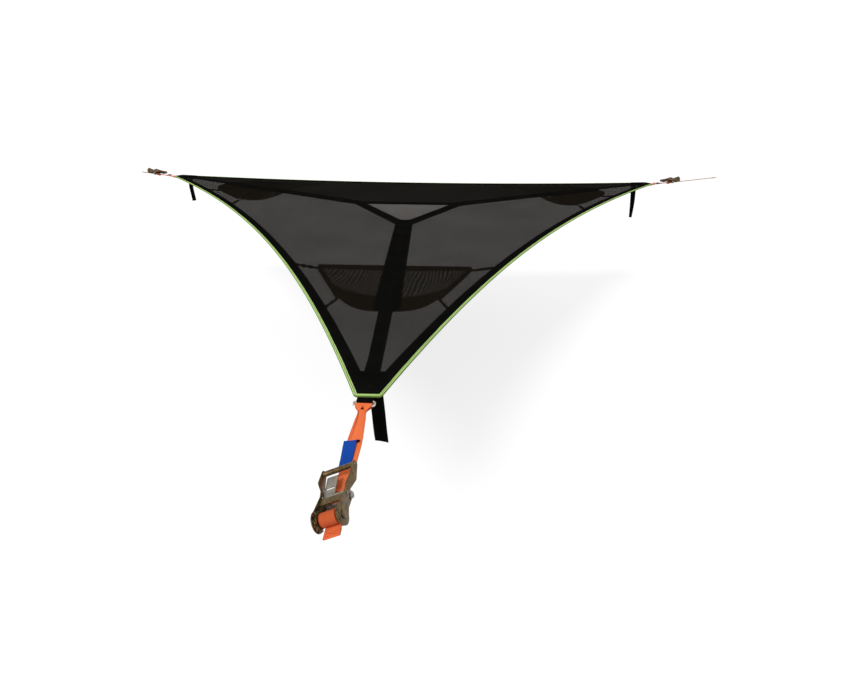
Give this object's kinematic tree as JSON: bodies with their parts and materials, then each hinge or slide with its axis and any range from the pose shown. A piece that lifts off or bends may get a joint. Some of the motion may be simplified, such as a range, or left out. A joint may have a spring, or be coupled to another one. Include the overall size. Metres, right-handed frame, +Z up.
{
  "type": "triangle hammock",
  "caption": "Triangular net hammock bed hung level between trees by webbing straps with hand ratchets, with net pockets below its corners.",
  "frame": {"origin": "the sewn end of the near corner's tree strap, on the strap line", "axes": "+Z up; the near corner points towards -Y and its opposite side lies along X at the back"},
  "size_m": [5.1988, 4.421, 0.3076],
  "materials": {
    "net_fabric": "woven mesh",
    "pocket_net": "fine net",
    "hatch_net": "open net",
    "black_webbing": "woven webbing",
    "green_trim": "woven binding",
    "orange_strap": "woven webbing",
    "blue_label": "woven label, blank",
    "steel_ring": "polished",
    "yellow_zinc_steel": "yellow zinc plated",
    "zinc_steel": "zinc plated"
  },
  "bodies": {
    "bed_and_straps": {"left_panel": "net_fabric", "left_edge_webbing": "black_webbing", "left_edge_trim": "green_trim", "right_panel": "net_fabric", "right_edge_webbing": "black_webbing", "right_edge_trim": "green_trim", "back_panel": "net_fabric", "back_edge_webbing": "black_webbing", "back_edge_trim": "green_trim", "hatch_frame": "black_webbing", "hatch_net": "hatch_net", "near_corner_patch": "black_webbing", "near_radial_strap": "black_webbing", "near_pocket": "pocket_net", "near_ring_loop": "black_webbing", "near_ring": "steel_ring", "near_short_strap": "orange_strap", "near_label": "blue_label", "near_tree_strap": "orange_strap", "near_frame": "yellow_zinc_steel", "near_frame_bolt": "yellow_zinc_steel", "left_corner_patch": "black_webbing", "left_radial_strap": "black_webbing", "left_pocket": "pocket_net", "left_ring_loop": "black_webbing", "left_ring": "steel_ring", "left_short_strap": "orange_strap", "left_label": "blue_label", "left_tree_strap": "orange_strap", "left_frame": "yellow_zinc_steel", "left_frame_bolt": "yellow_zinc_steel", "right_corner_patch": "black_webbing", "right_radial_strap": "black_webbing", "right_pocket": "pocket_net", "right_ring_loop": "black_webbing", "right_ring": "steel_ring", "right_short_strap": "orange_strap", "right_label": "blue_label", "right_tree_strap": "orange_strap", "right_frame": "yellow_zinc_steel", "right_frame_bolt": "yellow_zinc_steel"},
    "near_spool_and_winding": {"near_spool": "yellow_zinc_steel", "near_strap_winding": "orange_strap"},
    "near_handle": {"near_handle": "yellow_zinc_steel"},
    "near_drive_pawl": {"near_drive_pawl": "zinc_steel"},
    "near_lock_pawl": {"near_lock_pawl": "zinc_steel"},
    "near_hanging_tail": {"near_hanging_tail": "black_webbing"},
    "left_spool_and_winding": {"left_spool": "yellow_zinc_steel", "left_strap_winding": "orange_strap"},
    "left_handle": {"left_handle": "yellow_zinc_steel"},
    "left_drive_pawl": {"left_drive_pawl": "zinc_steel"},
    "left_lock_pawl": {"left_lock_pawl": "zinc_steel"},
    "left_hanging_tail": {"left_hanging_tail": "black_webbing"},
    "right_spool_and_winding": {"right_spool": "yellow_zinc_steel", "right_strap_winding": "orange_strap"},
    "right_handle": {"right_handle": "yellow_zinc_steel"},
    "right_drive_pawl": {"right_drive_pawl": "zinc_steel"},
    "right_lock_pawl": {"right_lock_pawl": "zinc_steel"},
    "right_hanging_tail": {"right_hanging_tail": "black_webbing"}
  },
  "joints": [
    {"name": "near_handle_swing", "type": "hinge", "parent": "bed_and_straps", "child": "near_handle", "pos_m": [-0.00568, 0.03413, 0.0134], "axis": [0.9024, -0.0189, 0.4305], "range_deg": [0, 150]},
    {"name": "near_drive_pawl_pull", "type": "slide", "parent": "near_handle", "child": "near_drive_pawl", "axis": [-0.0167, 0.9968, 0.0787], "range_m": [0, 0.006], "stiffness_N_per_m": 1500, "springref_m": -0.004},
    {"name": "near_lock_pawl_pull", "type": "slide", "parent": "bed_and_straps", "child": "near_lock_pawl", "axis": [0.1075, 0.9773, -0.1824], "range_m": [0, 0.006], "stiffness_N_per_m": 1500, "springref_m": -0.004},
    {"name": "near_spool_turn", "type": "hinge", "parent": "bed_and_straps", "child": "near_spool_and_winding", "pos_m": [-0.00568, 0.03413, 0.0134], "axis": [0.9024, -0.0189, 0.4305], "continuous": true},
    {"name": "near_tail_swing", "type": "hinge", "parent": "bed_and_straps", "child": "near_hanging_tail", "pos_m": [0.03901, 0.5253, -0.00058], "axis": [0.9998, -0.0209, 0], "range_deg": [-70, 70]},
    {"name": "left_handle_swing", "type": "hinge", "parent": "bed_and_straps", "child": "left_handle", "pos_m": [-2.28864, 4.14789, 0.01395], "axis": [-0.4698, -0.8138, 0.342], "range_deg": [0, 150]},
    {"name": "left_drive_pawl_pull", "type": "slide", "parent": "left_handle", "child": "left_drive_pawl", "axis": [0.8776, -0.4723, 0.0819], "range_m": [0, 0.006], "stiffness_N_per_m": 1500, "springref_m": -0.004},
    {"name": "left_lock_pawl_pull", "type": "slide", "parent": "bed_and_straps", "child": "left_lock_pawl", "axis": [0.8136, -0.5495, -0.1899], "range_m": [0, 0.006], "stiffness_N_per_m": 1500, "springref_m": -0.004},
    {"name": "left_spool_turn", "type": "hinge", "parent": "bed_and_straps", "child": "left_spool_and_winding", "pos_m": [-2.28864, 4.14789, 0.01395], "axis": [-0.4698, -0.8138, 0.342], "continuous": true},
    {"name": "left_tail_swing", "type": "hinge", "parent": "bed_and_straps", "child": "left_hanging_tail", "pos_m": [-1.84344, 3.88499, 0.00483], "axis": [-0.9613, 0.2756, 0], "range_deg": [-70, 70]},
    {"name": "right_handle_swing", "type": "hinge", "parent": "bed_and_straps", "child": "right_handle", "pos_m": [2.31077, 4.13989, 0.01395], "axis": [-0.4698, 0.8138, -0.342], "range_deg": [0, 150]},
    {"name": "right_drive_pawl_pull", "type": "slide", "parent": "right_handle", "child": "right_drive_pawl", "axis": [-0.8776, -0.4723, 0.0819], "range_m": [0, 0.006], "stiffness_N_per_m": 1500, "springref_m": -0.004},
    {"name": "right_lock_pawl_pull", "type": "slide", "parent": "bed_and_straps", "child": "right_lock_pawl", "axis": [-0.8136, -0.5495, -0.1899], "range_m": [0, 0.006], "stiffness_N_per_m": 1500, "springref_m": -0.004},
    {"name": "right_spool_turn", "type": "hinge", "parent": "bed_and_straps", "child": "right_spool_and_winding", "pos_m": [2.31077, 4.13989, 0.01395], "axis": [-0.4698, 0.8138, -0.342], "continuous": true},
    {"name": "right_tail_swing", "type": "hinge", "parent": "bed_and_straps", "child": "right_hanging_tail", "pos_m": [1.85778, 3.87249, 0.00483], "axis": [0.9272, -0.3746, 0], "range_deg": [-70, 70]}
  ]
}
